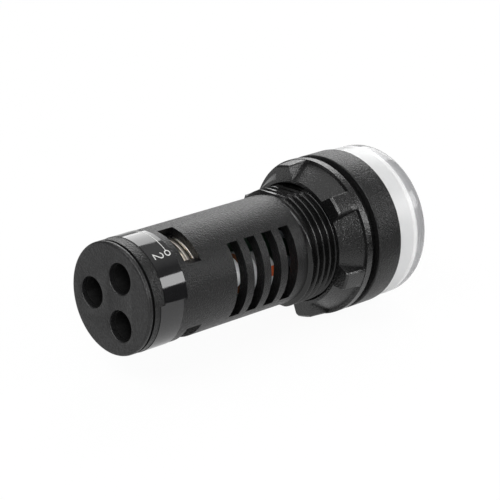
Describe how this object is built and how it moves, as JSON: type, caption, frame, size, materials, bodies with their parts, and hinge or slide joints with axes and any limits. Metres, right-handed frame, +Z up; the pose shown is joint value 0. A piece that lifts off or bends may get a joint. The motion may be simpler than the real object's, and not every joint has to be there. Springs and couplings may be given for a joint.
{
  "type": "panel pilot light",
  "caption": "Round panel indicator lamp: clear domed lens over a bezel, threaded barrel with a lugged lock nut, vent slots, a printed band and screw terminals behind driver holes.",
  "frame": {"origin": "centre of the panel seat, the rear face of the bezel", "axes": "+Y along the barrel towards the terminals, +Z up, the lens faces -Y"},
  "size_m": [0.029, 0.0649, 0.029],
  "materials": {
    "housing_plastic": "fine moulded texture",
    "block_plastic": "smooth moulded",
    "cover_plastic": "fine moulded texture",
    "nut_plastic": "coarse moulded texture",
    "gasket_rubber": "smooth, slightly glossy",
    "label_film": "glossy printed film",
    "lens_clear": "clear polished",
    "diffuser_white": "milky",
    "board_white": "lacquered board",
    "board_green": "lacquered board",
    "pin_metal": "tinned",
    "wire_metal": "tinned",
    "can_sleeve": "shrunk sleeve",
    "film_grey": "dipped",
    "film_red": "dipped",
    "varistor_coat": "dipped",
    "dropper_case": "moulded",
    "rectifier_case": "moulded",
    "resistor_coat": "lacquered",
    "led_body": "moulded",
    "plate_metal": "plated",
    "clamp_metal": "plated",
    "screw_metal": "plated"
  },
  "bodies": {
    "lamp": {"housing": "housing_plastic", "terminal_block": "block_plastic", "rear_cover": "cover_plastic", "panel_gasket": "gasket_rubber", "label_wrap": "label_film", "lens_cap": "lens_clear", "diffuser": "diffuser_white", "lamp_board": "board_white", "main_board": "board_green", "board_pins": "pin_metal", "link_wire": "wire_metal", "smoothing_capacitor": "can_sleeve", "film_capacitor_1": "film_grey", "film_capacitor_2": "film_red", "varistor": "varistor_coat", "dropper_capacitor": "dropper_case", "rectifier": "rectifier_case", "resistor_1": "resistor_coat", "resistor_2": "resistor_coat", "led_1": "led_body", "led_2": "led_body", "led_3": "led_body", "led_4": "led_body", "led_5": "led_body", "led_6": "led_body", "terminal_plate_1": "plate_metal", "terminal_plate_2": "plate_metal", "terminal_plate_3": "plate_metal"},
    "lock_nut": {"lock_nut": "nut_plastic"},
    "clamp_1": {"clamp_plate_1": "clamp_metal"},
    "screw_1": {"terminal_screw_1": "screw_metal"},
    "clamp_2": {"clamp_plate_2": "clamp_metal"},
    "screw_2": {"terminal_screw_2": "screw_metal"},
    "clamp_3": {"clamp_plate_3": "clamp_metal"},
    "screw_3": {"terminal_screw_3": "screw_metal"}
  },
  "joints": [
    {"name": "lock_nut_slide", "type": "slide", "parent": "lamp", "child": "lock_nut", "axis": [0, 1, 0], "range_m": [0, 0.052]},
    {"name": "clamp_slide_1", "type": "slide", "parent": "lamp", "child": "clamp_1", "axis": [0, 1, 0], "range_m": [-0.00034, 0.00198]},
    {"name": "screw_turn_1", "type": "hinge", "parent": "clamp_1", "child": "screw_1", "pos_m": [-0.00244, 0.0385, 0.00422], "axis": [0, 1, 0], "range_deg": [-247, 1430]},
    {"name": "clamp_slide_2", "type": "slide", "parent": "lamp", "child": "clamp_2", "axis": [0, 1, 0], "range_m": [-0.00034, 0.00198]},
    {"name": "screw_turn_2", "type": "hinge", "parent": "clamp_2", "child": "screw_2", "pos_m": [-0.00244, 0.0385, -0.00422], "axis": [0, 1, 0], "range_deg": [-247, 1430]},
    {"name": "clamp_slide_3", "type": "slide", "parent": "lamp", "child": "clamp_3", "axis": [0, 1, 0], "range_m": [-0.00034, 0.00198]},
    {"name": "screw_turn_3", "type": "hinge", "parent": "clamp_3", "child": "screw_3", "pos_m": [0.00487, 0.0385, 0], "axis": [0, 1, 0], "range_deg": [-247, 1430]}
  ],
  "couplings": [
    {"joint": "screw_turn_1", "follows": "clamp_slide_1", "rad_per_m": 12566},
    {"joint": "screw_turn_2", "follows": "clamp_slide_2", "rad_per_m": 12566},
    {"joint": "screw_turn_3", "follows": "clamp_slide_3", "rad_per_m": 12566}
  ]
}
